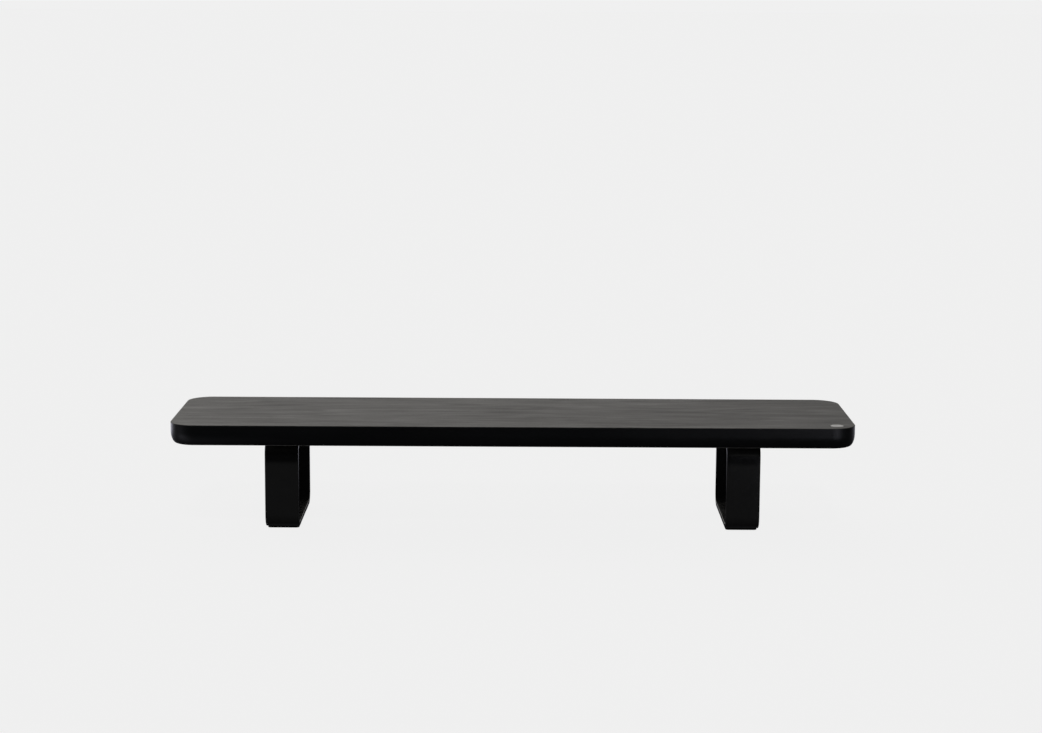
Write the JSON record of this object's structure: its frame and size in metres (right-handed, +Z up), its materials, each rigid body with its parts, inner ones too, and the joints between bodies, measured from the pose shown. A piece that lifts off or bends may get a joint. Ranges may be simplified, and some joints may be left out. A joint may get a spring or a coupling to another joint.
{
  "type": "desk shelf",
  "caption": "Fixed-height desk shelf: a long black-stained board with rounded corners on closed loop legs of flat steel bar, lifting a screen above open storage space.",
  "frame": {"origin": "on the desk, under the middle of the board", "axes": "+X along the board to the user's right, -Y towards the user, +Z up"},
  "size_m": [1.016, 0.254, 0.1645],
  "materials": {
    "stained_wood": "black-stained wood veneer, satin lacquer, grain along the board",
    "edge_paint": "smooth black satin lacquer over the routed edge",
    "leg_powder_coat": "fine black powder coat",
    "badge_metal": "finely brushed",
    "adhesive_tape": "matt",
    "insert_brass": "turned",
    "zinc_steel": "zinc plated",
    "black_oxide_steel": "black oxide, lightly oiled",
    "pad_rubber": "matt"
  },
  "bodies": {
    "root": {"board_core": "edge_paint", "top_veneer": "stained_wood", "bottom_veneer": "stained_wood", "badge_disc": "badge_metal", "badge_tape": "adhesive_tape", "left_leg": "leg_powder_coat", "right_leg": "leg_powder_coat", "left_threaded_inserts": "insert_brass", "right_threaded_inserts": "insert_brass", "left_washers": "zinc_steel", "right_washers": "zinc_steel", "left_leg_screws": "black_oxide_steel", "right_leg_screws": "black_oxide_steel", "left_front_foot_pad": "pad_rubber", "left_rear_foot_pad": "pad_rubber", "right_front_foot_pad": "pad_rubber", "right_rear_foot_pad": "pad_rubber"}
  },
  "joints": []
}
